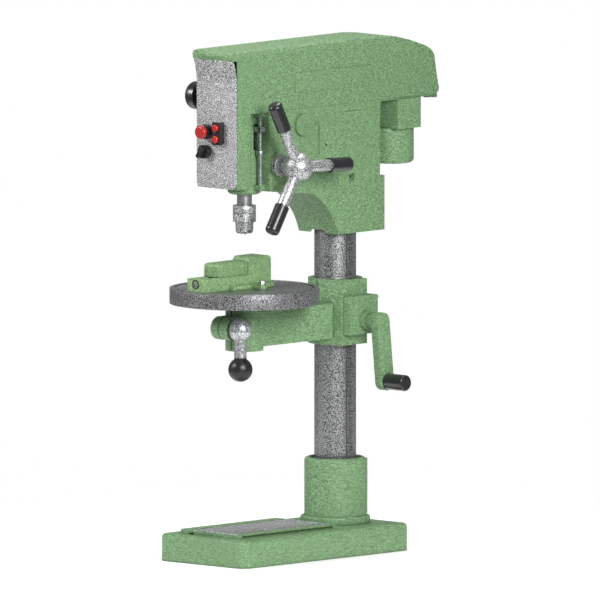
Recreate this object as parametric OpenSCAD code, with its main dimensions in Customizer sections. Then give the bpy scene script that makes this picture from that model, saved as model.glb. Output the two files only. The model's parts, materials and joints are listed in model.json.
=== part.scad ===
// Floor-standing column drill press. Front faces -Y, the feed capstan and the table crank are at +X.

/* [Stand] */
// Width of the base plate
base_w = 380; // [340:4:420]
// Length of the base plate, front to back
base_l = 780; // [740:4:800]
// Height of the base plate
base_h = 88; // [80:1:100]
// Radius of the column
column_r = 67; // [66:0.5:68]
// Height of the socket's top above the floor
socket_top = 300; // [260:5:310]

/* [Head] */
// Width of the head casting and the belt cover
head_w = 174; // [170:2:190]
// Height where the belt cover meets the casting
split_z = 1445; // [1440:1:1450]
// Height of the belt cover's top
cover_top = 1650; // [1640:2:1660]
// Height of the feed shaft
feed_z = 1275; // [1270:1:1280]

/* [Table] */
// Radius of the round table
table_r = 240; // [220:2:240]
// Height of the table's top at its highest setting
table_z = 877; // [870:1:880]
// Thickness of the table
table_t = 49; // [40:1:50]

/* [Feed] */
// Length of a capstan arm from the hub's centre to the grip's end
spoke_reach = 240; // [200:5:250]
// Radius of the capstan's hub ball
hub_r = 47; // [40:1:50]

/* [Hidden] */
$fn = 64;

green = "DarkSeaGreen";
vice_green = "YellowGreen";
silver = "Silver";
black = "#202022";
red = "Crimson";

column_y = 236;      // the column's axis behind the base plate's centre
spindle_y = -422;    // the spindle's axis, from the column's axis, as are all the places below
motor_y = 258;
feed_y = spindle_y + 50;
half_w = head_w / 2;
gap = 0.4;           // between curved faces that move past each other
run_fit = 0.08;      // radial clearance of a running fit
front_y = -547;
rear_y = 391;
pad_top = base_h + 15;
column_top = 1380;
column_bottom = base_h;
casting_bottom = 1026;
panel_bottom = 1206;
panel_top = 1620;
nose_bottom = 1179;
quill_r = 37.5;
quill_bottom = 1182;
quill_top = 1398;
quill_stroke = 60;
spindle_top = 1596;
pinion_m = 2;        // feed pinion: module and teeth
pinion_n = 16;
rack_m = 3;          // table lift rack and pinion: module and teeth
rack_n = 12;
worm_m = 2;          // worm and its wheel
wheel_n = 20;
worm_r = 10;
crank_z = 748;
crank_y = 8;
lift_z = crank_z + worm_r + worm_m * wheel_n / 2;
rack_pitch_x = 77;
lift_x = rack_pitch_x + rack_m * rack_n / 2;
rack_y = -9;
rack_w = 16;
arm_top = 803;
arm_bottom = 690;
collar_bottom = 668;
hub_y = spindle_y;
clamp_y = -508;      // the table clamp screw
clamp_z = 752;
hub_x = 191;         // centre of the capstan's ball
dial_x = 105;
knob_y = -498;
knob_z = 1492;
pulley_z = split_z + 10;
step_r = [78, 60, 42];
step_h = 22;
motor_box_y = [200, 316];
motor_box_z = [1342, 1439];
hinge_y = 385;
hinge_z = 1437;
rod_x = 71;
rod_y = -424;
dog_z = 1392;
vice_floor = 45;     // height of the vice's bed
vice_front = -650;
vice_rear = -335;
jaw_y = -440;        // where the closed jaws meet
vice_bolt_x = 78;
screw_z = table_z + 27;

// ---------- shared shapes ----------

// Everything but the base plate is placed from the column's axis.
module at_column() {
    translate([0, column_y, 0]) children();
}

module rounded_rect(w, l, r) {
    square([w - 2 * r, l], center = true);
    square([w, l - 2 * r], center = true);
    for (sx = [-1, 1], sy = [-1, 1])
        translate([sx * (w / 2 - r), sy * (l / 2 - r)]) circle(r);
}

// Extrudes a [y, z] outline along X, centred.
module along_x(w) {
    translate([-w / 2, 0, 0]) rotate([90, 0, 90]) linear_extrude(w) children();
}

// A cylinder along X from x0 to x1.
module rod_along_x(x0, x1, r) {
    translate([x0, 0, 0]) rotate([0, 90, 0]) cylinder(h = x1 - x0, r = r);
}

// A cylinder along Y from y0 to y1.
module rod_along_y(y0, y1, r) {
    translate([0, y0, 0]) rotate([-90, 0, 0]) cylinder(h = y1 - y0, r = r);
}

module ring(r_out, r_in, h) {
    difference() {
        cylinder(h = h, r = r_out);
        translate([0, 0, -1]) cylinder(h = h + 2, r = r_in);
    }
}

// A cylinder with a rounded top edge.
module domed(h, r, e) {
    rotate_extrude() {
        square([r, h - e]);
        square([r - e, h]);
        translate([r - e, h - e]) intersection() {
            circle(e);
            square(e);
        }
    }
}

module socket_screw(length, r) {
    translate([0, 0, -length]) cylinder(h = length, r = r);
    difference() {
        cylinder(h = 2 * r, r = 1.6 * r);
        translate([0, 0, r]) cylinder(h = r + 1, r = 0.9 * r, $fn = 6);
    }
}

function polar(r, a) = [r * cos(a), r * sin(a)];

// Half a tooth's thickness at pitch is thin, so that meshed teeth keep a clear backlash.
function half_tooth(m) = 0.19 * PI * m;

// One gear tooth's outline, its middle at angle a.
function tooth_points(m, n, a) = let (
    r = m * n / 2,
    w = half_tooth(m) / r * 180 / PI,
    flank = 0.36 * m / r * 180 / PI
) [
    polar(r - 1.25 * m, a - w - flank),
    polar(r, a - w),
    polar(r + m, a - w + flank),
    polar(r + m, a + w - flank),
    polar(r, a + w),
    polar(r - 1.25 * m, a + w + flank)
];

module gear_2d(m, n, first) {
    polygon([for (i = [0 : n - 1]) each tooth_points(m, n, first + i * 360 / n)]);
}

// Rack teeth that point along +X from a pitch line at x = 0, the middle one at y = 0.
module rack_2d(m, below, above, back) {
    w = half_tooth(m);
    tip = w - 0.36 * m;
    root = w + 0.45 * m;
    polygon(concat(
        [[-back, -(below + 0.5) * PI * m], [-1.25 * m, -(below + 0.5) * PI * m]],
        [for (i = [-below : above]) let (y = i * PI * m) each [
            [-1.25 * m, y - root], [m, y - tip], [m, y + tip], [-1.25 * m, y + root]]],
        [[-1.25 * m, (above + 0.5) * PI * m], [-back, (above + 0.5) * PI * m]]
    ));
}

// ---------- stand ----------

module base_plate() {
    corner = 34;
    edge = 12;
    pad_w = 262;
    pad_y0 = -580 + column_y;
    pad_y1 = -138 + column_y;
    slot_x = 85;
    bolt_x = 150;
    bolt_y = 330;
    color(green) difference() {
        union() {
            hull() for (sx = [-1, 1], sy = [-1, 1])
                translate([sx * (base_w / 2 - corner), sy * (base_l / 2 - corner), 0]) {
                    cylinder(h = base_h - edge, r = corner, $fn = 40);
                    translate([0, 0, base_h - edge]) rotate_extrude($fn = 40)
                        translate([corner - edge, 0]) circle(edge, $fn = 28);
                }
            translate([-pad_w / 2, pad_y0, base_h - 1]) cube([pad_w, pad_y1 - pad_y0, pad_top - base_h + 1]);
        }
        // open underside with cross ribs and solid corners
        translate([0, 0, -1]) linear_extrude(base_h - 27) difference() {
            for (y = [-base_l / 2 + 26, -base_l / 6 + 6, base_l / 6 + 6])
                translate([-base_w / 2 + 26, y]) square([base_w - 52, base_l / 3 - 34]);
            for (sx = [-1, 1], sy = [-1, 1])
                translate([sx * bolt_x, sy * bolt_y]) circle(24);
        }
        // floor bolt holes
        for (sx = [-1, 1], sy = [-1, 1])
            translate([sx * bolt_x, sy * bolt_y, -1]) cylinder(h = base_h + 2, r = 9);
        // screws into the socket come from below
        for (sx = [-1, 1], sy = [-1, 1])
            translate([sx * 60, column_y + sy * 60, base_h - 30]) cylinder(h = 40, r = 8.2);
        // T-slots: the left one opens at the pad's front, the right one stops short of it
        for (s = [[-slot_x, pad_y0 - 1], [slot_x + 12, pad_y0 + 30]]) {
            translate([s[0] - 7, s[1], pad_top - 12]) cube([14, pad_y1 - s[1] + 1, 13]);
            translate([s[0] - 12, s[1], pad_top - 21]) cube([24, pad_y1 - s[1] + 1, 9]);
        }
        // undercut along the pad's right side
        translate([pad_w / 2 - 7, pad_y0 + 12, base_h + 3]) cube([8, pad_y1 - pad_y0 - 24, 6]);
    }
}

module column_socket() {
    body_r = 99;
    flange_r = 112;
    flange_h = 25;
    edge = 12;
    block_w = 80;
    block_y = 108;
    block_top = socket_top - 10;
    color(green) at_column() difference() {
        union() {
            translate([0, 0, base_h]) domed(flange_h, flange_r, 8);
            translate([0, 0, base_h]) domed(socket_top - base_h, body_r, edge);
            translate([-block_w / 2, 0, base_h + flange_h - 1])
                cube([block_w, block_y, block_top - base_h - flange_h + 1]);
        }
        translate([0, 0, base_h - 1]) cylinder(h = socket_top, r = column_r + 0.05);
        // groove for the rack's foot
        translate([0, 0, socket_top - 10]) cylinder(h = 11, r = 84);
        // clamp split and its bolt hole
        translate([-2, 60, base_h + flange_h]) cube([4, 60, socket_top]);
        translate([0, 88, 240]) rod_along_x(-50, 50, 8.2);
        translate([0, 88, 240]) rod_along_x(30, 50, 16);
        for (sx = [-1, 1], sy = [-1, 1])
            translate([sx * 60, sy * 60, base_h - 1]) cylinder(h = 30, r = 8);
    }
}

// Four screws hold the socket from below, and one more closes its split.
module socket_screws() {
    color(silver) at_column() {
        for (sx = [-1, 1], sy = [-1, 1])
            translate([sx * 60, sy * 60, base_h - 28]) rotate([180, 0, 0]) socket_screw(50, 8);
        translate([30, 88, 240]) rotate([0, 90, 0]) socket_screw(50, 8);
    }
}

module column() {
    color(silver) at_column() translate([0, 0, column_bottom])
        ring(column_r, column_r - 9, column_top - column_bottom);
}

// ---------- head ----------

// The underside sweeps down from the head to the column housing.
function sweep(t) = let (a = [-196, 1168], b = [-104, 1118], c = [-77, casting_bottom])
    [for (i = [0, 1]) pow(1 - t, 2) * a[i] + 2 * t * (1 - t) * b[i] + t * t * c[i]];

module casting_profile() {
    polygon(concat(
        [[-398, split_z], [-398, 1190], [-256, 1175]],
        [for (i = [0 : 8]) sweep(i / 8)],
        [[138, casting_bottom], [138, 1201], [117, 1201], [117, split_z]]
    ));
}

module head_casting() {
    box_back = -468;
    wall = 13;
    edge = 22;
    hole_y = -13;
    hole_z = 1206;
    color(green) at_column() difference() {
        union() {
            along_x(head_w) casting_profile();
            // switch box at the front, its rear corners rounded
            translate([0, 0, panel_bottom]) linear_extrude(split_z - panel_bottom) {
                translate([-half_w, front_y]) square([head_w, box_back - edge - front_y]);
                translate([-half_w + edge, front_y]) square([head_w - 2 * edge, box_back - front_y]);
                for (sx = [-1, 1])
                    translate([sx * (half_w - edge), box_back - edge]) circle(edge);
                translate([-50, box_back - 5]) square([100, 80]);
            }
            // quill housing with a rounded nose
            translate([0, spindle_y, split_z]) mirror([0, 0, 1]) domed(split_z - nose_bottom, 55, 14);
            // lugs of the depth rod
            for (z = [1198, split_z - 14])
                translate([40, rod_y - 11, z]) cube([43, 22, 14]);
            // bosses of the feed shaft and of the side plug
            translate([0, feed_y, feed_z]) rod_along_x(-half_w - 8, dial_x - gap, 30);
            translate([0, -246, 1393]) rod_along_x(0, half_w + 10, 35);
        }
        // quill bore, sleeve bearing seat and column bore
        translate([0, spindle_y, nose_bottom - 1]) cylinder(h = 222, r = quill_r + run_fit);
        translate([0, spindle_y, 1399]) cylinder(h = 60, r = 31);
        translate([0, 0, casting_bottom - 1])
            cylinder(h = column_top - casting_bottom + 1.1, r = column_r + 0.05);
        translate([0, 0, casting_bottom - 1]) cylinder(h = 11, r = 84);
        // feed shaft bore and pinion pocket
        translate([0, feed_y, feed_z]) rod_along_x(-half_w - 9, dial_x, 15);
        translate([0, feed_y, feed_z]) rod_along_x(-20, 20, 21);
        // slot for the depth dog
        translate([20, rod_y - 12, dog_z - 10 - quill_stroke]) cube([40, 24, 25 + quill_stroke]);
        translate([rod_x, rod_y, 1190]) cylinder(h = 260, r = 7);
        // hollow inside of the switch box and of the casting's neck
        translate([-half_w + 8, front_y - 1, panel_bottom + 12])
            cube([head_w - 16, 52, split_z - panel_bottom - 24]);
        translate([-half_w + wall, -330, 1200]) cube([head_w - 2 * wall, 245, split_z]);
        // recessed clamp screws at the column
        for (sx = [-1, 1]) translate([0, hole_y, hole_z]) {
            mirror([sx < 0 ? 1 : 0, 0, 0]) rod_along_x(column_r - 5, half_w + 1, 8.1);
            mirror([sx < 0 ? 1 : 0, 0, 0]) rod_along_x(half_w - 9, half_w + 1, 13);
        }
        // groove, oil hole and ribs on the right side
        translate([half_w - 3, -168.5, 1293]) cube([4, 3, 105]);
        translate([0, -134, 1320]) rod_along_x(half_w - 9, half_w + 1, 5);
        translate([half_w - 2, -40, 1419]) cube([3, 73, 2.5]);
    }
}

module head_clamp_screws() {
    color(silver) at_column() for (sx = [-1, 1])
        mirror([sx < 0 ? 1 : 0, 0, 0]) translate([0, -13, 1206]) difference() {
            rod_along_x(column_r + 0.2, half_w - 10, 8);
            translate([half_w - 16, 0, 0]) rotate([0, 90, 0]) cylinder(h = 8, r = 4.5, $fn = 6);
        }
}

// Side view of the front panel: its upper part leans forward.
function panel_front(t) = [front_y - 6 - 15 * t * t, panel_top - 75 * (1 - t)];
function panel_back(t) = [front_y - 0.2 - 15 * t * t, panel_top - 75 * (1 - t)];

module front_panel() {
    corner = 20;
    color(silver) at_column() intersection() {
        along_x(head_w) polygon(concat(
            [[front_y - 0.2, panel_bottom], [front_y - 6, panel_bottom]],
            [for (i = [0 : 5]) panel_front(i / 5)],
            [for (i = [5 : -1 : 0]) panel_back(i / 5)]
        ));
        translate([0, front_y + 10, 0]) rotate([90, 0, 0]) linear_extrude(60) union() {
            translate([-half_w, panel_bottom + corner]) square([head_w, 500]);
            translate([-half_w + corner, panel_bottom]) square([head_w - 2 * corner, 60]);
            for (sx = [-1, 1])
                translate([sx * (half_w - corner), panel_bottom + corner]) circle(corner);
        }
    }
}

panel_y = front_y - 6;
stop_at = [-38, 1387];
box_at = [17, 1385];
switch_at = [-42, 1323];
button_r = 12;

module stop_collar() {
    color(black) at_column() translate([stop_at[0], panel_y, stop_at[1]]) difference() {
        union() {
            rod_along_y(-16, 0, 24);
            rod_along_y(-20, 0, 19);
        }
        rod_along_y(-21, 1, 11);
    }
}

module stop_button() {
    color(red) at_column() translate([stop_at[0], panel_y, stop_at[1]]) {
        rotate([90, 0, 0]) translate([0, 0, 27]) domed(14, 22, 8);
        rod_along_y(-28, -6.5, 10.5);
    }
}

module button_box() {
    color(black) at_column() translate([box_at[0], panel_y, box_at[1]]) difference() {
        rotate([90, 0, 0]) linear_extrude(20) rounded_rect(36, 74, 8);
        for (s = [-1, 1])
            translate([0, 0, s * 18]) rod_along_y(-21, -8, button_r + 0.5);
    }
}

module push_button(side) {
    color(red) at_column() translate([box_at[0], panel_y, box_at[1] + side * 18])
        rotate([90, 0, 0]) translate([0, 0, 14]) domed(15, button_r, 4);
}

module switch_knob() {
    color(black) at_column() translate([switch_at[0], panel_y, switch_at[1]]) {
        rod_along_y(-20, -0.5, 22);
        rotate([0, 35, 0]) translate([-6, -36, -21]) cube([12, 18, 42]);
    }
}

module spring_housing() {
    color(green) at_column() translate([0, feed_y, feed_z]) difference() {
        mirror([1, 0, 0]) translate([half_w + 8, 0, 0]) rotate([0, 90, 0]) domed(30, 42, 6);
        rod_along_x(-half_w - 34, -half_w, 37);
    }
}

module return_spring() {
    coils = 5;
    color(silver) at_column() translate([-half_w - 28, feed_y, feed_z]) rotate([0, 90, 0])
        for (i = [0 : coils - 1])
            ring(14 + 4.5 * i + 1.2, 14 + 4.5 * i, 14);
}

module pinion_bushes() {
    color("Goldenrod") at_column() translate([0, feed_y, feed_z])
        for (x = [[-half_w - 6, -half_w + 22], [half_w - 22, dial_x - 2]])
            difference() {
                rod_along_x(x[0], x[1], 15);
                rod_along_x(x[0] - 1, x[1] + 1, 10 + run_fit);
            }
}

module depth_rod() {
    pitch = 6;
    turns = 32;
    color(silver) at_column() translate([rod_x, rod_y, 0]) {
        translate([0, 0, 1192]) cylinder(h = split_z - 1192, r = 7);
        translate([0, 0, 1216]) rotate_extrude() for (i = [0 : turns - 1])
            translate([0, i * pitch]) polygon([[0, 0], [6.9, 0], [8, 1.6], [8, 3.4], [6.9, 5], [0, 5]]);
    }
}

module belt_guard_base() {
    color(green) at_column() {
        difference() {
            translate([-half_w + 3, 117.5, motor_box_z[1]])
                cube([head_w - 6, rear_y - 24 - 117.5, split_z - motor_box_z[1]]);
            translate([0, motor_y, motor_box_z[1] - 1]) cylinder(h = 10, r = 24);
        }
        translate([-half_w + 3, 117.5, 1400]) cube([head_w - 6, 5, motor_box_z[1] - 1400]);
        for (sx = [-1, 1]) difference() {
            union() {
                translate([sx * 50 - 9, rear_y - 25, hinge_z - 7]) cube([18, hinge_y - rear_y + 25, 14]);
                translate([0, hinge_y, hinge_z]) rod_along_x(sx * 50 - 9, sx * 50 + 9, 7);
            }
            translate([0, hinge_y, hinge_z]) rod_along_x(sx * 50 - 10, sx * 50 + 10, 4.02);
        }
    }
}

module cover_hinge_pin() {
    color(silver) at_column() translate([0, hinge_y, hinge_z]) rod_along_x(-78, 78, 4);
}

// ---------- belt cover ----------

cover_back = [[115, 1650], [190, 1643], [256, 1627], [326, 1604], [354, 1590], [369, 1572],
    [380, 1510], [391, 1462], [389, 1453], [382, split_z + 0.5]];

module cover_outline() {
    polygon(concat(
        [[front_y + 0.3, split_z + 0.5], [front_y + 0.3, panel_top + 1], [front_y - 22, panel_top + 1],
            [front_y - 25, cover_top - 14], [front_y - 21, cover_top - 4], [front_y - 12, cover_top]],
        cover_back
    ));
}

module cover_inside() {
    t = 4;
    polygon(concat(
        [[front_y - 1, split_z - 5], [front_y - 1, cover_top - 12], [front_y + 20, cover_top - t]],
        [for (p = cover_back) [p[0] - t, p[1] - t]],
        [[378, split_z - 5]]
    ));
}

module belt_cover() {
    edge = 10;
    color(green) at_column() difference() {
        union() {
            intersection() {
                along_x(head_w) cover_outline();
                // long edges of the top are rounded
                translate([0, -100, 0]) rotate([90, 0, 0]) linear_extrude(1200, center = true) union() {
                    translate([-half_w, split_z]) square([head_w, cover_top - split_z - edge]);
                    translate([-half_w + edge, split_z]) square([head_w - 2 * edge, cover_top - split_z]);
                    for (sx = [-1, 1])
                        translate([sx * (half_w - edge), cover_top - edge]) circle(edge);
                }
            }
            // raised panel on the right side
            translate([half_w - 1, -278, 1498]) cube([3, 352, 64]);
            // boss of the lock knob
            translate([0, knob_y, knob_z]) rod_along_x(-half_w - 6, -half_w + 6, 18);
            // hinge knuckles
            for (sx = [-1, 1]) {
                translate([0, hinge_y, hinge_z]) rod_along_x(sx * 70 - 8, sx * 70 + 8, 7);
                translate([sx * 70 - 8, hinge_y - 6, hinge_z]) cube([16, 11, 22]);
            }
        }
        difference() {
            along_x(head_w - 8) cover_inside();
            for (sx = [-1, 1]) {
                translate([0, hinge_y, hinge_z]) rod_along_x(sx * 70 - 8, sx * 70 + 8, 7);
                translate([sx * 70 - 8, hinge_y - 6, hinge_z]) cube([16, 11, 22]);
            }
        }
        translate([0, knob_y, knob_z]) rod_along_x(-half_w - 7, -half_w + 7, 8 + run_fit);
        translate([0, hinge_y, hinge_z]) rod_along_x(-90, 90, 4 + run_fit);
    }
}

module cover_knob() {
    color(black) at_column() translate([0, knob_y, knob_z]) {
        mirror([1, 0, 0]) translate([half_w + 30, 0, 0]) rotate([0, 90, 0]) domed(40, 45, 16);
        rod_along_x(-half_w - 31, -half_w - 6.5, 26);
        rod_along_x(-half_w - 10, -half_w + 8, 8);
        translate([-half_w + 4.5, -8, -46.5]) cube([4, 16, 54]);
    }
}

// ---------- drive ----------

module drive_bearings() {
    color(silver) at_column() {
        for (z = [1402, 1426]) translate([0, spindle_y, z]) ring(31, 20, 14);
        for (z = [1236, 1432]) translate([0, motor_y, z]) ring(22, 10, 7);
    }
}

module step_pulley(radii, bore) {
    difference() {
        for (i = [0 : 2]) translate([0, 0, pulley_z + i * step_h]) difference() {
            cylinder(h = step_h, r = radii[i]);
            translate([0, 0, step_h / 2]) rotate_extrude()
                polygon([[radii[i] - 12, -5.5], [radii[i] + 1, -8], [radii[i] + 1, 8], [radii[i] - 12, 5.5]]);
        }
        translate([0, 0, pulley_z - 1]) cylinder(h = 3 * step_h + 2, r = bore);
    }
}

module spindle_pulley() {
    sleeve_r = 20 - 0.02;
    color(silver) at_column() translate([0, spindle_y, 0]) {
        step_pulley(step_r, 14);
        translate([0, 0, 1401]) difference() {
            cylinder(h = pulley_z - 1401 + 3 * step_h, r = sleeve_r);
            translate([0, 0, -1]) cylinder(h = 200, r = 12 + run_fit);
        }
    }
}

module v_belt() {
    r_out = step_r[1] - 1.5;
    r_in = step_r[1] - 11.5;
    span = motor_y - spindle_y;
    color(black) at_column() translate([0, 0, pulley_z + 1.5 * step_h - 4.5]) linear_extrude(9)
        difference() {
            union() {
                translate([0, spindle_y]) circle(r_out);
                translate([0, motor_y]) circle(r_out);
                translate([-r_out, spindle_y]) square([2 * r_out, span]);
            }
            translate([0, spindle_y]) circle(r_in);
            translate([0, motor_y]) circle(r_in);
            translate([-r_in, spindle_y]) square([2 * r_in, span]);
        }
}

module motor_box() {
    depth = motor_box_y[1] - motor_box_y[0];
    height = motor_box_z[1] - motor_box_z[0];
    wall = 7;
    edge = 16;
    color(green) at_column() difference() {
        intersection() {
            translate([-half_w, motor_box_y[0], motor_box_z[0]]) cube([head_w, depth, height]);
            translate([0, (motor_box_y[0] + motor_box_y[1]) / 2 - edge / 2, 0])
                linear_extrude(1500) rounded_rect(head_w, depth + edge, edge);
        }
        translate([-half_w + wall, motor_box_y[0] + wall, motor_box_z[0] + wall])
            cube([head_w - 2 * wall, depth - 2 * wall, height - 2 * wall]);
        translate([0, motor_y, motor_box_z[0] - 1]) cylinder(h = wall + 2, r = 40);
        translate([0, motor_y, motor_box_z[1] - wall - 1]) cylinder(h = wall + 2, r = 22);
        translate([45, 0, 1390]) rod_along_y(motor_box_y[1] - wall - 1, motor_box_y[1] + 1, 9);
    }
}

module motor_housing() {
    bottom = 1227;
    top = motor_box_z[0];
    color(green) at_column() translate([0, motor_y, 0]) difference() {
        translate([0, 0, top]) mirror([0, 0, 1]) domed(top - bottom, 74, 14);
        translate([0, 0, bottom + 22]) cylinder(h = 200, r = 66);
        translate([0, 0, bottom + 8]) cylinder(h = 20, r = 22);
    }
}

module motor_stator() {
    color("Sienna") at_column() translate([0, motor_y, 1256]) ring(66, 50, 76);
}

module motor_shaft() {
    color(silver) at_column() translate([0, motor_y, 0]) {
        translate([0, 0, 1236]) cylinder(h = 292, r = 10 - 0.02);
        translate([0, 0, 1258]) cylinder(h = 72, r = 49);
    }
}

module motor_pulley() {
    color(silver) at_column() translate([0, motor_y, 0])
        step_pulley([for (i = [2 : -1 : 0]) step_r[i]], 10);
}

module cable_gland() {
    color(black) at_column() translate([45, 0, 1390]) difference() {
        union() {
            rod_along_y(motor_box_y[1] - 10, motor_box_y[1] + 1, 8.9);
            translate([0, motor_box_y[1] + 7, 0]) rotate([90, 0, 0]) cylinder(h = 7, r = 13, $fn = 6);
            rod_along_y(motor_box_y[1] + 6, motor_box_y[1] + 18, 10);
        }
        rod_along_y(motor_box_y[1] - 11, motor_box_y[1] + 20, 4.5);
    }
}

// ---------- quill and spindle ----------

module quill() {
    teeth = 9;
    flat = 50 - pinion_m * pinion_n / 2;
    color(silver) at_column() translate([0, spindle_y, 0]) difference() {
        translate([0, 0, quill_bottom]) cylinder(h = quill_top - quill_bottom, r = quill_r);
        translate([0, 0, quill_bottom - 1]) cylinder(h = 300, r = 18);
        for (z = [quill_bottom - 1, quill_top - 24]) translate([0, 0, z]) cylinder(h = 25, r = 27);
        // rack teeth on the rear
        translate([0, 0, feed_z]) rotate([90, 0, 90]) linear_extrude(80, center = true) difference() {
            translate([flat - 2.5, -3.4 * PI * pinion_m])
                square([12, (teeth + 10.4) * PI * pinion_m]);
            translate([flat, 0]) rack_2d(pinion_m, 3, teeth + 6, 20);
        }
    }
}

module quill_bearings() {
    color(silver) at_column() for (z = [quill_bottom + 2, quill_top - 22])
        translate([0, spindle_y, z]) ring(27, 15, 18);
}

module depth_dog() {
    color(silver) at_column() difference() {
        translate([quill_r - 3, rod_y - 11, dog_z - 8]) cube([rod_x + 12 - quill_r + 3, 22, 16]);
        translate([0, spindle_y, dog_z - 9]) cylinder(h = 18, r = quill_r);
        translate([rod_x, rod_y, dog_z - 9]) cylinder(h = 18, r = 8.5);
    }
}

module depth_nut() {
    nut_h = 16;
    color(silver) at_column() translate([rod_x, rod_y, dog_z - 8 - quill_stroke - 1 - nut_h])
        ring(12, 8.4, nut_h);
}

module spindle() {
    color(silver) at_column() translate([0, spindle_y, 0]) {
        translate([0, 0, 1108]) cylinder(h = 35, r1 = 9, r2 = 11);
        translate([0, 0, 1143]) cylinder(h = 37, r = 24);
        translate([0, 0, 1180]) cylinder(h = 218, r = 15 - 0.03);
        translate([0, 0, 1398]) cylinder(h = spindle_top - 1398, r = 12);
    }
}

module jaw_place(i, grow) {
    tilt = 14;
    jaw_r = 4;
    translate([0, spindle_y, 0]) rotate([0, 0, 90 + 120 * i]) translate([8.5, 0, 1050])
        rotate([0, tilt, 0]) cylinder(h = 40 + grow * 20, r = jaw_r + grow * 0.35);
}

module chuck_body() {
    color(silver) at_column() difference() {
        union() {
            translate([0, spindle_y, 1118]) cylinder(h = 24, r = 37);
            translate([0, spindle_y, 1056]) cylinder(h = 64, r = 23);
        }
        translate([0, spindle_y, 1107.9]) cylinder(h = 35, r1 = 9.02, r2 = 11.02);
        translate([0, spindle_y, 1055]) cylinder(h = 53, r = 7);
        for (i = [0 : 2]) jaw_place(i, 1);
    }
}

module chuck_sleeve() {
    color(silver) at_column() translate([0, spindle_y, 0]) difference() {
        rotate_extrude() polygon([[0, 1053], [24, 1053], [28, 1058], [29, 1087],
            [37, 1090], [37, 1117], [0, 1117]]);
        translate([0, 0, 1052]) cylinder(h = 70, r = 23.1);
    }
}

module chuck_jaw(i) {
    color(silver) at_column() jaw_place(i, 0);
}

// ---------- feed capstan ----------

module feed_shaft() {
    shaft_r = 10;
    color(silver) at_column() translate([0, feed_y, feed_z]) {
        rod_along_x(-half_w - 30, -14, shaft_r);
        rod_along_x(14, hub_x - hub_r + 8, shaft_r);
        rotate([90, 0, 90]) linear_extrude(28, center = true)
            gear_2d(pinion_m, pinion_n, 180 + 180 / pinion_n);
    }
}

module feed_hub() {
    color(silver) at_column() translate([hub_x, feed_y, feed_z]) difference() {
        union() {
            rotate([0, 90, 0]) sphere(hub_r);
            rod_along_x(-hub_r - 6, -20, 24);
        }
        rod_along_x(-hub_r - 7, -hub_r + 8, 10);
        for (i = [0 : 2]) rotate([120 * i - 2, 0, 0]) rod_along_y(30, 60, 19);
    }
}

module feed_spokes() {
    color(silver) at_column() translate([hub_x, feed_y, feed_z]) for (i = [0 : 2])
        rotate([120 * i - 2, 0, 0]) {
            rod_along_y(30, spoke_reach - 98, 19);
            rod_along_y(spoke_reach - 98, spoke_reach - 20, 9);
        }
}

module feed_grips() {
    grip_r = 23.5;
    color(black) at_column() translate([hub_x, feed_y, feed_z]) for (i = [0 : 2])
        rotate([120 * i - 2, 0, 0]) difference() {
            translate([0, spoke_reach - 98, 0]) rotate([-90, 0, 0]) domed(98, grip_r, 12);
            rod_along_y(spoke_reach - 99, spoke_reach - 20, 9);
        }
}

module feed_dial() {
    color(silver) at_column() translate([0, feed_y, feed_z]) difference() {
        rod_along_x(dial_x, dial_x + 16, 35);
        rod_along_x(dial_x - 1, dial_x + 17, 10);
    }
}

// ---------- table lift ----------

module lift_rack() {
    foot = socket_top - 9;
    head = casting_bottom + 9;
    below = floor((lift_z - foot) / (PI * rack_m));
    above = floor((head - lift_z) / (PI * rack_m));
    color(silver) at_column() intersection() {
        translate([rack_pitch_x, rack_y + rack_w / 2, lift_z]) rotate([90, 0, 0])
            linear_extrude(rack_w) rack_2d(rack_m, below, above, rack_pitch_x - column_r - 0.4);
        translate([0, -50, foot]) cube([100, 100, head - foot]);
    }
}

module table_bracket() {
    collar_r = 87;
    boss_x = 150;
    ear_r = 37;
    color(green) at_column() difference() {
        union() {
            translate([0, 0, collar_bottom]) cylinder(h = table_z - collar_bottom, r = collar_r);
            translate([10, -73, collar_bottom]) cube([87, 119, table_z - collar_bottom]);
            translate([-61, hub_y, arm_bottom]) cube([122, -hub_y, arm_top - arm_bottom]);
            translate([60, -64, 703]) cube([66, 128, 123]);
            translate([0, crank_y, crank_z]) rod_along_x(120, boss_x, 29);
            translate([0, hub_y, 676]) cylinder(h = table_z - table_t - 676, r = 61);
            translate([0, clamp_y, clamp_z]) rod_along_x(-33, 33, ear_r);
            translate([-33, clamp_y, clamp_z - ear_r]) cube([66, hub_y - clamp_y, 2 * ear_r]);
            // clamp block of the collar at the rear left
            translate([-86, 20, 700]) cube([50, 72, 140]);
        }
        translate([0, 0, collar_bottom - 1]) cylinder(h = 300, r = column_r + run_fit);
        // channel for the rack
        translate([60, rack_y - rack_w / 2 - 0.6, collar_bottom - 1]) cube([22, rack_w + 1.2, 300]);
        // flat on the front of the collar
        translate([-13, -100, arm_top]) cube([111, 27, 90]);
        // gear chamber, open at the rear
        translate([73, rack_y - 10, lift_z - 24]) cube([46, 90, 50]);
        translate([0, crank_y, crank_z]) rod_along_x(80, 118, 15);
        translate([82, crank_y - 15, crank_z]) cube([36, 30, 16]);
        translate([lift_x, 0, lift_z]) rod_along_y(-50, 0, 8 + run_fit);
        translate([0, crank_y, crank_z]) rod_along_x(110, boss_x + 1, 9 + run_fit);
        for (z = [712, 817], x = [78, 116]) translate([x, 0, z]) rod_along_y(48, 65, 2.5);
        // table post bore, with the split between the clamp ears
        translate([0, hub_y, 675]) cylinder(h = 200, r = 35 + run_fit);
        translate([-2, clamp_y - ear_r - 1, 670]) cube([4, hub_y - clamp_y + 10, 155]);
        translate([0, clamp_y, clamp_z]) rod_along_x(-34, 34, 8 + run_fit);
        // split and screw hole of the collar clamp
        translate([-62, 40, 699]) cube([4, 60, 142]);
        translate([0, 78, 790]) rod_along_x(-90, -30, 7 + run_fit);
    }
}

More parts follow.
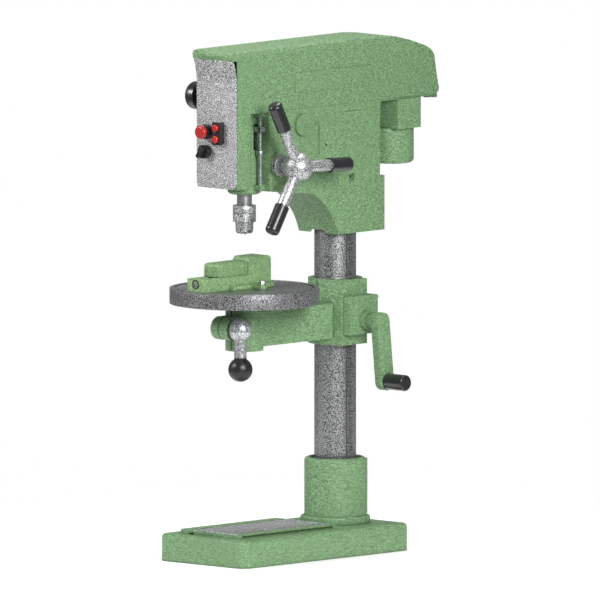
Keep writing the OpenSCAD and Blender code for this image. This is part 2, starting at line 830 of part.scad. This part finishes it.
module gearbox_cover() {
    color(green) at_column() difference() {
        union() {
            translate([72, 64, 706]) cube([50, 6, 117]);
            translate([lift_x, 0, lift_z]) rod_along_y(62, 82, 15);
        }
        translate([lift_x, 0, lift_z]) rod_along_y(60, 78, 8 + run_fit);
        for (z = [712, 817], x = [78, 116]) translate([x, 0, z]) rod_along_y(60, 71, 2.6);
    }
}

module gearbox_screws() {
    color(silver) at_column() for (z = [712, 817], x = [78, 116])
        translate([x, 70, z]) rotate([-90, 0, 0]) socket_screw(20, 2.5);
}

// The worm's cross-section: its radius rises once round the turn.
function thread_r(a) = let (d = abs(a - 180) * worm_m * PI / 360, w = half_tooth(worm_m))
    d < w - 0.36 * worm_m ? worm_r + worm_m :
    d > w + 0.45 * worm_m ? worm_r - 1.25 * worm_m :
    worm_r + worm_m - (d - w + 0.36 * worm_m) / (0.81 * worm_m) * 2.25 * worm_m;

module worm_shaft() {
    turns = 3;
    lead = PI * worm_m;
    color(silver) at_column() translate([0, crank_y, crank_z]) {
        translate([lift_x, 0, 0]) rotate([0, 90, 0])
            translate([0, 0, -turns * lead / 2])
                linear_extrude(turns * lead, twist = -360 * turns, slices = 12 * turns, segments = 24)
                    polygon([for (a = [0 : 15 : 345]) polar(thread_r(a), a)]);
        rod_along_x(lift_x - 13.5, lift_x + 14, 7.4);
        rod_along_x(lift_x + 13, crank_x + 6, 9);
    }
}

module lift_pinion() {
    color(silver) at_column() translate([lift_x, 0, lift_z]) {
        rod_along_y(-48, 76, 8);
        translate([0, rack_y + 7, 0]) rotate([90, 0, 0]) linear_extrude(14)
            gear_2d(rack_m, rack_n, 180 + 180 / rack_n);
        translate([0, crank_y + 3, 0]) rotate([90, 0, 0]) linear_extrude(6)
            gear_2d(worm_m, wheel_n, -90);
        rod_along_y(crank_y + 2.9, 56, 12);
    }
}

crank_x = 176;       // the inner face of the crank's arm
crank_reach = 195;
crank_lean = 6;

module crank_arm() {
    plate_t = 30;
    width = 29;
    color(green) at_column() translate([0, crank_y, crank_z]) rotate([crank_lean, 0, 0]) {
        difference() {
            union() {
                rod_along_x(150.6, crank_x + 2, 26);
                rod_along_x(crank_x, crank_x + plate_t, width);
                translate([crank_x, -width, -crank_reach]) cube([plate_t, 2 * width, crank_reach]);
                translate([0, 0, -crank_reach]) rod_along_x(crank_x, crank_x + plate_t, width);
            }
            rod_along_x(150, crank_x + 6, 9);
        }
        translate([0, 0, -crank_reach]) rod_along_x(crank_x + plate_t, crank_x + plate_t + 69, 9);
    }
}

module crank_grip() {
    color(black) at_column() translate([0, crank_y, crank_z]) rotate([crank_lean, 0, 0])
        translate([crank_x + 30.6, 0, -crank_reach]) difference() {
            rotate([0, 90, 0]) domed(80, 26, 6);
            rod_along_x(-1, 70, 9 + run_fit);
        }
}

module column_clamp_lever() {
    color(silver) at_column() translate([0, 78, 790]) {
        rod_along_x(-100, -36, 7);
        rod_along_x(-112, -86.5, 15);
        translate([-100, 0, 0]) rotate([-20, 0, 0]) rod_along_y(0, 90, 6);
        translate([-100, 0, 0]) rotate([-20, 0, 0]) translate([0, 98, 0]) sphere(14);
    }
}

module table_clamp_lever() {
    ball_x = 64;
    ball_r = 38;
    drop = 128;
    color(silver) at_column() translate([0, clamp_y, clamp_z]) {
        rod_along_x(-44, ball_x, 8);
        difference() {
            translate([ball_x, 0, 0]) sphere(ball_r);
            translate([-20, -50, -50]) cube([53.5, 100, 100]);
        }
        translate([ball_x, 0, -drop]) cylinder(h = drop, r = 20);
    }
    color(black) at_column() translate([ball_x, clamp_y, clamp_z - drop]) sphere(39);
}

module round_table() {
    rim_r = table_r - 14;
    slot_w = 14;
    color(silver) at_column() translate([0, hub_y, 0]) difference() {
        union() {
            translate([0, 0, table_z - table_t]) cylinder(h = table_t, r = table_r, $fn = 128);
            translate([0, 0, 690]) cylinder(h = table_z - table_t - 690 + 1, r = 35);
        }
        // coolant groove inside the rim
        translate([0, 0, table_z - 4]) ring(rim_r, rim_r - 10, 5);
        for (a = [0 : 90 : 270]) rotate([0, 0, a]) {
            translate([72, -slot_w / 2, table_z - 60]) cube([108, slot_w, 70]);
            translate([72, -slot_w / 2 - 5, table_z - 60]) cube([108, slot_w + 10, 46]);
        }
    }
}

// ---------- vice ----------

module vice_body() {
    w = 70;
    flange_w = 100;
    flange_y = -530;
    top = table_z + vice_floor;
    edge = 16;
    channel_y = vice_front + 23;
    color(vice_green) at_column() difference() {
        union() {
            translate([-w / 2, vice_front, table_z]) cube([w, vice_rear - vice_front, vice_floor]);
            translate([-flange_w / 2, flange_y, table_z]) cube([flange_w, vice_rear - flange_y, 14]);
            // fixed jaw with a rounded top
            along_x(w) {
                translate([jaw_y, top - 1]) square([vice_rear - jaw_y, 41]);
                translate([jaw_y + edge, top]) square([vice_rear - jaw_y - 2 * edge, 56]);
                for (y = [jaw_y + edge, vice_rear - edge]) translate([y, top + 40]) circle(edge);
            }
            // lugs for the holding-down bolts
            for (sx = [-1, 1]) {
                translate([sx * vice_bolt_x, hub_y, table_z]) cylinder(h = 16, r = 15);
                translate([sx * 54 - 24, hub_y - 15, table_z]) cube([48, 30, 16]);
            }
        }
        // channel of the moving jaw's nut, and the screw's bores
        translate([-15, channel_y, table_z + 12]) cube([30, jaw_y - 10 - channel_y, vice_floor]);
        translate([0, 0, screw_z]) rod_along_y(vice_front - 1, channel_y + 20, 9 + run_fit);
        translate([0, 0, screw_z]) rod_along_y(vice_front - 1, vice_front + 8, 16);
        translate([0, 0, screw_z]) rod_along_y(jaw_y - 20, jaw_y + 10, 7);
        for (sx = [-1, 1]) translate([sx * vice_bolt_x, hub_y, table_z - 1]) cylinder(h = 20, r = 6.1);
        // jaw face recess
        translate([-w / 2 - 1, jaw_y - 0.5, top + 12]) cube([w + 2, 1, 3]);
    }
}

module vice_jaw() {
    w = 66;
    length = 134;
    height = 43;
    edge = 12;
    top = table_z + vice_floor;
    color(vice_green) at_column() difference() {
        union() {
            along_x(w) translate([jaw_y - 1 - length, top + 0.4]) {
                square([length, height - edge]);
                translate([edge, 0]) square([length - edge, height]);
                translate([edge, height - edge]) circle(edge);
            }
            translate([-14.5, -545, table_z + 13]) cube([29, 36, 40]);
        }
        translate([0, 0, screw_z]) rod_along_y(-550, -500, 7 + run_fit);
    }
}

module vice_screw() {
    pitch = 5;
    turns = 34;
    color(silver) at_column() translate([0, 0, screw_z]) {
        rod_along_y(vice_front + 10, jaw_y + 7, 5.4);
        rod_along_y(jaw_y - 13, jaw_y + 7, 7 - run_fit);
        rod_along_y(vice_front + 8, vice_front + 23.4, 9);
        translate([0, vice_front + 24, 0]) rotate([-90, 0, 0]) rotate_extrude()
            for (i = [0 : turns - 1])
                translate([0, i * pitch])
                    polygon([[0, 0], [5.4, 0], [7, 1.6], [7, 3], [5.4, 4.4], [0, 4.4]]);
        translate([0, vice_front + 8, 0]) rotate([90, 0, 0]) cylinder(h = 7.5, r = 11, $fn = 6);
    }
}

module vice_bolts() {
    color(silver) at_column() for (sx = [-1, 1]) translate([sx * vice_bolt_x, hub_y, table_z]) {
        translate([0, 0, -24]) cylinder(h = 50, r = 5.9);
        translate([-6, -10.5, -31]) cube([12, 21, 10]);
        translate([0, 0, 16]) cylinder(h = 2, r = 12);
        translate([0, 0, 18]) cylinder(h = 9, r = 10.5, $fn = 6);
    }
}

base_plate();
column_socket();
socket_screws();
column();
head_casting();
head_clamp_screws();
front_panel();
stop_collar();
button_box();
spring_housing();
return_spring();
pinion_bushes();
depth_rod();
belt_guard_base();
cover_hinge_pin();
drive_bearings();
v_belt();
motor_box();
motor_housing();
motor_stator();
cable_gland();
belt_cover();
cover_knob();
spindle_pulley();
motor_shaft();
motor_pulley();
quill();
quill_bearings();
depth_dog();
depth_nut();
spindle();
chuck_body();
chuck_sleeve();
chuck_jaw(0);  // chuck_jaw_1
chuck_jaw(1);  // chuck_jaw_2
chuck_jaw(2);  // chuck_jaw_3
feed_shaft();
feed_hub();
feed_spokes();
feed_grips();
feed_dial();
stop_button();
push_button(1);  // start_button
push_button(-1);  // off_button
switch_knob();
lift_rack();
table_bracket();
gearbox_cover();
gearbox_screws();
worm_shaft();
lift_pinion();
crank_arm();
crank_grip();
column_clamp_lever();
table_clamp_lever();
round_table();
vice_body();
vice_jaw();
vice_screw();
vice_bolts();
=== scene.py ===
"""The drill press: finishes, rounded castings and fine surface detail around the CAD frame."""

import json
import math

import bmesh
import bpy
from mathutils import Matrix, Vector


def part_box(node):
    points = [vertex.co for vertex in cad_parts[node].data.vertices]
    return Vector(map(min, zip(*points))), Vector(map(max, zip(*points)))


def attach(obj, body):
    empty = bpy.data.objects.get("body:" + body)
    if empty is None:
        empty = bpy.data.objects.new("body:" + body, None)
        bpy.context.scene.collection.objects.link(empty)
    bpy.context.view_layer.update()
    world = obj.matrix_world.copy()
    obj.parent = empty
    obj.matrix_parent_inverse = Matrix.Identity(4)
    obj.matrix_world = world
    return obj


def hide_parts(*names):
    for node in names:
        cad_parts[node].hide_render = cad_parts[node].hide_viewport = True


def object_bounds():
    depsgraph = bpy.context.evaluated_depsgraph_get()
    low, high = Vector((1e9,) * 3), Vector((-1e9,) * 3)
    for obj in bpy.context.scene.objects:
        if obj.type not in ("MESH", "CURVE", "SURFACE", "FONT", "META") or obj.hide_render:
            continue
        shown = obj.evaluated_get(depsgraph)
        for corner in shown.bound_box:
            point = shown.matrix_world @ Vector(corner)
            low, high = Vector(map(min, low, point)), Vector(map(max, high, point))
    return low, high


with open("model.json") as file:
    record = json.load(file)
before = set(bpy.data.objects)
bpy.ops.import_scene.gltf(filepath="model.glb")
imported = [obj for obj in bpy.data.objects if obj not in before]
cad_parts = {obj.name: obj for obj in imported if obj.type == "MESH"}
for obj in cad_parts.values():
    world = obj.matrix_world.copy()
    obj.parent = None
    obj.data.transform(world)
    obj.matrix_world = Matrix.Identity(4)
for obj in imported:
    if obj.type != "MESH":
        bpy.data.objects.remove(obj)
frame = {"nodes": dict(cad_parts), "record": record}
nodes = frame["nodes"]
record = frame["record"]
cad_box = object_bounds()

MM = 0.001
BODY_OF = {
    node: body
    for body, members in record["behaviour"]["bodies"].items()
    for node in members
}
SLOT_OF = {part["node"]: part["material_slot"] for part in record["subparts"]}


# ---------- finishes ----------


def srgb(red, green, blue):
    """A colour given in display units from 0 to 255, as linear RGBA."""
    return [(channel / 255) ** 2.2 for channel in (red, green, blue)] + [1.0]


class Finish:
    """A procedural material. Sizes are in metres, in the row frame at rest."""

    def __init__(self, name, **shader):
        self.material = bpy.data.materials.new(name)
        self.material.use_nodes = True
        self.tree = self.material.node_tree
        self.shader = self.tree.nodes["Principled BSDF"]
        for socket, value in shader.items():
            self.shader.inputs[socket.replace("_", " ")].default_value = value
        self.place = self.add("ShaderNodeTexCoord").outputs["Object"]

    def add(self, kind, inputs=None, **settings):
        node = self.tree.nodes.new(kind)
        for key, value in settings.items():
            setattr(node, key, value)
        for key, value in (inputs or {}).items():
            self.put(node.inputs[key], value)
        return node

    def put(self, socket, value):
        if isinstance(value, bpy.types.NodeSocket):
            self.tree.links.new(value, socket)
        else:
            socket.default_value = value

    def noise(self, size, detail=2.0, stretch=(1, 1, 1)):
        """Noise with features about size across, drawn out along the axes where stretch is over 1."""
        scale = [1 / (size * s) for s in stretch]
        spot = self.add("ShaderNodeMapping", {"Vector": self.place, "Scale": scale})
        noise = {"Vector": spot.outputs["Vector"], "Scale": 1.0, "Detail": detail}
        return self.add("ShaderNodeTexNoise", noise).outputs["Fac"]

    def cells(self, size):
        """The distance to the middle of rounded cells about size across."""
        scale = [1 / size] * 3
        spot = self.add("ShaderNodeMapping", {"Vector": self.place, "Scale": scale})
        cells = {"Vector": spot.outputs["Vector"], "Scale": 1.0}
        return self.add("ShaderNodeTexVoronoi", cells, feature="SMOOTH_F1").outputs["Distance"]

    def remap(self, value, low, high, to_low=0.0, to_high=1.0):
        spread = {"Value": value, 1: low, 2: high, 3: to_low, 4: to_high}
        return self.add("ShaderNodeMapRange", spread).outputs[0]

    def calc(self, operation, a, b):
        return self.add("ShaderNodeMath", {0: a, 1: b}, operation=operation).outputs[0]

    def blend(self, factor, a, b):
        mix = {0: factor, 6: a, 7: b}
        return self.add("ShaderNodeMix", mix, data_type="RGBA").outputs[2]

    def axis(self, letter):
        return self.add("ShaderNodeSeparateXYZ", {0: self.place}).outputs[letter]

    def within(self, value, low, high):
        """1 where low < value < high, else 0."""
        above = self.calc("GREATER_THAN", value, low)
        return self.calc("MULTIPLY", above, self.calc("LESS_THAN", value, high))

    def painted_crease_shade(self, reach=9 * MM, most=0.75):
        """Painted shade: from 0 in the open to most in seams and inner corners, read from ambient
        occlusion.
        """
        near = self.add("ShaderNodeAmbientOcclusion", {"Distance": reach}, samples=6).outputs["AO"]
        return self.remap(near, 0.45, 0.9, most, 0.0)

    def relief(self, height, depth):
        bump = {"Height": height, "Distance": depth, "Strength": 1.0}
        self.put(self.shader.inputs["Normal"], self.add("ShaderNodeBump", bump).outputs["Normal"])

    def colour(self, value):
        self.put(self.shader.inputs["Base Color"], value)

    def roughness(self, value):
        self.put(self.shader.inputs["Roughness"], value)


def scaled(colour, factor):
    return [min(1.0, channel * factor) for channel in colour[:3]] + [1.0]


def grainy(finish, size):
    """A fine uneven grain from 0 to 1, with faint lines that run level round the part."""
    grain = finish.noise(size, 3.0)
    lines = finish.noise(size * 0.8, 2.0, (3.5, 3.5, 0.8))
    return finish.calc("ADD", finish.calc("MULTIPLY", grain, 0.6), finish.calc("MULTIPLY", lines, 0.4))


def enamel_colour(finish, colour, grain):
    """Green enamel over a rough casting: darker in the pits, paler on the crests, with painted shade
    in seams and inner corners.
    """
    pits = finish.remap(grain, 0.36, 0.56)
    tone = finish.blend(pits, scaled(colour, 0.36), scaled(colour, 1.08))
    crests = finish.remap(grain, 0.56, 0.68)
    tone = finish.blend(crests, tone, scaled(colour, 1.75))
    broad = finish.remap(finish.noise(0.16, 3.0), 0.35, 0.7, 0.0, 0.35)
    tone = finish.blend(broad, tone, scaled(colour, 0.84))
    # painted shade: the enamel darkened to a quarter of its colour in seams and inner corners
    return finish.blend(finish.painted_crease_shade(), tone, scaled(colour, 0.25))


def enamel(name, colour, size=4.5 * MM, depth=1.0 * MM):
    finish = Finish(name, Specular_IOR_Level=0.45)
    grain = grainy(finish, size)
    finish.colour(enamel_colour(finish, colour, grain))
    finish.roughness(finish.remap(finish.noise(0.03), 0.3, 0.7, 0.42, 0.6))
    finish.relief(grain, depth)
    return finish.material


def silver_colour(finish, flecks, painted_light_level=1.0):
    # the level scales both tones: painted shade below 1, painted highlight above 1
    tone = finish.remap(flecks, 0.4, 0.6)
    dark, bright = scaled(srgb(96, 97, 99), painted_light_level), scaled(srgb(236, 237, 239), painted_light_level)
    return finish.blend(tone, dark, bright)


def silver(name, size=3.6 * MM, depth=0.9 * MM, painted_light_level=1.0):
    """Bright steel with a coarse sparkling grain; a level below 1 darkens the colour as painted shade,
    above 1 lightens it as painted highlight.
    """
    finish = Finish(name, Metallic=0.72)
    flecks = finish.noise(size, 2.0)
    finish.colour(silver_colour(finish, flecks, painted_light_level))
    finish.roughness(finish.remap(finish.noise(size * 2), 0.35, 0.65, 0.3, 0.52))
    finish.relief(flecks, depth)
    return finish.material


def machined(name, colour, stretch, size=1.2 * MM):
    """Turned or ground steel: fine lines along the directions that stretch draws out."""
    finish = Finish(name, Metallic=1.0)
    lines = finish.noise(size, 2.0, stretch)
    stains = finish.remap(finish.noise(0.02, 3.0), 0.5, 0.75, 0.0, 0.5)
    tone = finish.blend(finish.remap(lines, 0.3, 0.7), scaled(colour, 0.8), scaled(colour, 1.15))
    finish.colour(finish.blend(stains, tone, scaled(colour, 0.6)))
    finish.roughness(finish.remap(lines, 0.3, 0.7, 0.22, 0.42))
    finish.relief(lines, 0.05 * MM)
    return finish.material


def moulded(name, colour, rough, size=1.6 * MM, depth=0.12 * MM, coat=0.0):
    """Plastic or rubber with a moulded grain, a little scuffed."""
    finish = Finish(name, Coat_Weight=coat, Coat_Roughness=0.12)
    grain = finish.cells(size)
    scuffs = finish.remap(finish.noise(0.012, 4.0), 0.56, 0.72, 0.0, 0.5)
    tone = finish.blend(finish.remap(grain, 0.2, 0.7), scaled(colour, 0.8), scaled(colour, 1.2))
    finish.colour(finish.blend(scuffs, tone, scaled(colour, 2.2)))
    finish.roughness(finish.remap(finish.noise(0.008), 0.3, 0.7, rough - 0.08, rough + 0.1))
    finish.relief(grain, depth)
    return finish.material


GREEN = srgb(120, 155, 112)
VICE_GREEN = srgb(136, 170, 120)
STEEL = srgb(196, 198, 201)

FINISHES = {
    "green_paint": enamel("green_enamel", GREEN),
    "green_cast": enamel("green_casting", GREEN, 5 * MM, 1.2 * MM),
    "vice_paint": enamel("vice_enamel", VICE_GREEN, 4 * MM, 0.8 * MM),
    # painted shade: the column_steel silver at half brightness; painted highlight: the panel silver
    # made brighter
    "column_steel": silver("silver_with_painted_shade", painted_light_level=0.5),
    "panel_aluminium": silver("silver_with_painted_highlight", 3.2 * MM, 0.5 * MM, 1.2),
    "handle_steel": silver("bright_handle", 3.2 * MM, 0.6 * MM),
    "machined_steel": machined("turned_steel", STEEL, (12, 12, 0.6)),
    "fastener_steel": machined("fastener_zinc", srgb(160, 163, 166), (1, 1, 1), 0.8 * MM),
    "bronze": machined("bush_bronze", srgb(188, 146, 84), (0.6, 10, 10)),
    "stator_iron": machined("wound_copper", srgb(140, 92, 66), (8, 8, 0.5)),
    "black_grip": moulded("black_phenolic", srgb(34, 34, 37), 0.3, coat=0.5),
    "black_plastic": moulded("black_moulded", srgb(30, 30, 32), 0.42),
    "red_plastic": moulded("red_moulded", srgb(168, 38, 36), 0.34, coat=0.3),
    "belt_rubber": moulded("belt_rubber", srgb(26, 26, 28), 0.7, 2.5 * MM, 0.3 * MM),
}


def base_finish():
    """The casting's enamel, with the pad's bare machined face between its T-slots."""
    finish = Finish("base_plate_finish", Specular_IOR_Level=0.45)
    pad_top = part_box("base_plate")[1].z
    grain = grainy(finish, 5 * MM)
    flecks = finish.noise(3.6 * MM, 2.0)
    on_top = finish.calc("GREATER_THAN", finish.axis("Z"), pad_top - 1.5 * MM)
    between = finish.within(finish.axis("X"), -77 * MM, 118 * MM)
    bare = finish.calc("MULTIPLY", on_top, between)
    paint = enamel_colour(finish, GREEN, grain)
    finish.colour(finish.blend(bare, paint, silver_colour(finish, flecks)))
    finish.put(finish.shader.inputs["Metallic"], finish.calc("MULTIPLY", bare, 0.72))
    finish.roughness(finish.remap(finish.noise(0.03), 0.3, 0.7, 0.4, 0.56))
    finish.relief(grain, 1.2 * MM)
    return finish.material


def ball_lever_finish():
    """The table lever's steel, and the black ball on its lower end."""
    finish = Finish("table_lever_finish")
    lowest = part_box("table_clamp_lever")[0].z
    ball = finish.calc("LESS_THAN", finish.axis("Z"), lowest + 77 * MM)
    flecks = finish.noise(3.2 * MM, 2.0)
    finish.colour(finish.blend(ball, silver_colour(finish, flecks), srgb(34, 34, 37)))
    steel = finish.calc("SUBTRACT", 1.0, ball)
    finish.put(finish.shader.inputs["Metallic"], finish.calc("MULTIPLY", steel, 0.72))
    finish.roughness(finish.remap(finish.noise(0.01), 0.3, 0.7, 0.26, 0.44))
    finish.relief(flecks, 0.5 * MM)
    return finish.material


def dial_finish():
    """The feed dial, with a dark mark every six degrees round its rim."""
    finish = Finish("feed_dial_finish", Metallic=0.8)
    low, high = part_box("feed_dial")
    centre = (low + high) / 2
    across = finish.calc("SUBTRACT", finish.axis("Y"), centre.y)
    up = finish.calc("SUBTRACT", finish.axis("Z"), centre.z)
    angle = finish.calc("ARCTAN2", up, across)
    mark = finish.calc("LESS_THAN", finish.calc("PINGPONG", angle, math.radians(3)), 0.014)
    on_rim = finish.within(finish.axis("X"), low.x + 4 * MM, high.x - 2 * MM)
    flecks = finish.noise(3.2 * MM, 2.0)
    inked = finish.calc("MULTIPLY", mark, on_rim)
    finish.colour(finish.blend(inked, silver_colour(finish, flecks), srgb(24, 24, 26)))
    finish.roughness(finish.remap(flecks, 0.3, 0.7, 0.28, 0.45))
    finish.relief(flecks, 0.3 * MM)
    return finish.material


SPECIAL = {
    "base_plate": base_finish(),
    "table_clamp_lever": ball_lever_finish(),
    "feed_dial": dial_finish(),
}


def finish_of(node):
    return SPECIAL.get(node, FINISHES[SLOT_OF[node]])


for name, node in nodes.items():
    node.data.materials.clear()
    node.data.materials.append(finish_of(name))


# ---------- rounded castings ----------

SHARP = math.radians(28)

# Rounding of each node's sharp edges, in millimetres.
ROUNDING = {
    "base_plate": 3,
    "column_socket": 3,
    "head_casting": 3,
    "front_panel": 1.5,
    "belt_cover": 3,
    "motor_box": 3,
    "belt_guard_base": 1,
    "table_bracket": 4,
    "gearbox_cover": 2,
    "crank_arm": 4,
    "vice_body": 2.5,
    "vice_jaw": 2.5,
    "round_table": 1.5,
    "column": 0.8,
    "stop_collar": 1,
    "button_box": 1.5,
    "switch_knob": 1.5,
    "spring_housing": 1,
    "chuck_body": 0.8,
    "feed_dial": 1,
    "feed_spokes": 1,
    "depth_nut": 0.8,
    "depth_dog": 1,
    "cover_knob": 1,
    "crank_grip": 1,
    "cable_gland": 0.6,
    "quill": 0.4,
    "vice_screw": 0.3,
    "vice_bolts": 0.6,
    "socket_screws": 0.6,
    "head_clamp_screws": 0.5,
    "gearbox_screws": 0.4,
    "column_clamp_lever": 1,
    "spindle_pulley": 0.6,
    "motor_pulley": 0.6,
}


def rounded(node, width):
    """A copy of a CAD node with its sharp edges rounded, shown in its place."""
    mesh = nodes[node].data.copy()
    piece = bpy.data.objects.new(node + "_rounded", mesh)
    bpy.context.scene.collection.objects.link(piece)
    shape = bmesh.new()
    shape.from_mesh(mesh)
    bmesh.ops.remove_doubles(shape, verts=shape.verts, dist=0.01 * MM)
    bmesh.ops.dissolve_limit(shape, angle_limit=math.radians(1), verts=shape.verts, edges=shape.edges)
    sharp = [e for e in shape.edges if len(e.link_faces) == 2 and e.calc_face_angle(0) > SHARP]
    bmesh.ops.bevel(
        shape,
        geom=sharp,
        offset=width,
        segments=3,
        profile=0.5,
        affect="EDGES",
        clamp_overlap=True,
    )
    shape.to_mesh(mesh)
    shape.free()
    mesh.shade_smooth()
    mesh.set_sharp_from_angle(angle=math.radians(32))
    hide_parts(node)
    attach(piece, BODY_OF[node])
    return piece


for name, size in ROUNDING.items():
    rounded(name, size * MM)


# ---------- studio ----------


def studio():
    floor = bpy.data.meshes.new("floor")
    half = 1.7
    corners = [(-half, -half, 0), (half, -half, 0), (half, half, 0), (-half, half, 0)]
    floor.from_pydata(corners, [], [(0, 1, 2, 3)])
    ground = bpy.data.objects.new("floor", floor)
    bpy.context.scene.collection.objects.link(ground)
    white = (1.0, 1.0, 1.0, 1.0)
    finish = Finish("floor_finish", Roughness=0.9, Emission_Color=white, Emission_Strength=0.18)
    soft = finish.remap(finish.noise(0.8), 0.3, 0.7)
    finish.colour(finish.blend(soft, srgb(250, 250, 250), srgb(254, 254, 254)))
    floor.materials.append(finish.material)
    ground.location.z = cad_box[0].z - 0.2 * MM

    world = bpy.data.worlds.new("studio")
    bpy.context.scene.world = world
    world.use_nodes = True
    tree = world.node_tree
    backdrop = tree.nodes["Background"]
    backdrop.inputs["Color"].default_value = white
    # white behind the machine, dimmer as a light
    seen = tree.nodes.new("ShaderNodeLightPath").outputs["Is Camera Ray"]
    strength = tree.nodes.new("ShaderNodeMapRange")
    strength.inputs["To Min"].default_value = 0.26
    strength.inputs["To Max"].default_value = 1.0
    tree.links.new(seen, strength.inputs["Value"])
    tree.links.new(strength.outputs["Result"], backdrop.inputs["Strength"])

    middle = (cad_box[0] + cad_box[1]) / 2
    for name, place, size, power in [
        ("key", (-2.2, -3.4, 3.2), 1.5, 112),
        ("fill", (3.8, -1.6, 2.6), 1.8, 185),
        ("top", (-0.5, 0.8, 4.6), 2.0, 90),
    ]:
        light = bpy.data.lights.new(name, "AREA")
        light.size = size
        light.energy = power
        lamp = bpy.data.objects.new(name, light)
        lamp.location = place
        lamp.rotation_euler = (middle - Vector(place)).to_track_quat("-Z", "Y").to_euler()
        bpy.context.scene.collection.objects.link(lamp)


def camera():
    """Seen from the front right and a little above, without perspective, as in the photograph."""
    azimuth, elevation = math.radians(43.5), math.radians(6.3)
    view_width, distance = 1.92, 8
    right = Vector((math.cos(azimuth), math.sin(azimuth), 0))
    back = Vector((right.y * math.cos(elevation), -right.x * math.cos(elevation), math.sin(elevation)))
    up = back.cross(right)
    low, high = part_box("column")
    foot = Vector(((low.x + high.x) / 2, (low.y + high.y) / 2, 0))
    target = foot - 0.1126 * right + 0.798 * up
    data = bpy.data.cameras.new("camera")
    data.type = "ORTHO"
    data.ortho_scale = view_width
    eye = bpy.data.objects.new("camera", data)
    eye.location = target + back * distance
    eye.rotation_euler = back.to_track_quat("Z", "Y").to_euler()
    bpy.context.scene.collection.objects.link(eye)
    bpy.context.scene.camera = eye


studio()
camera()
bpy.context.scene.view_settings.view_transform = "Standard"
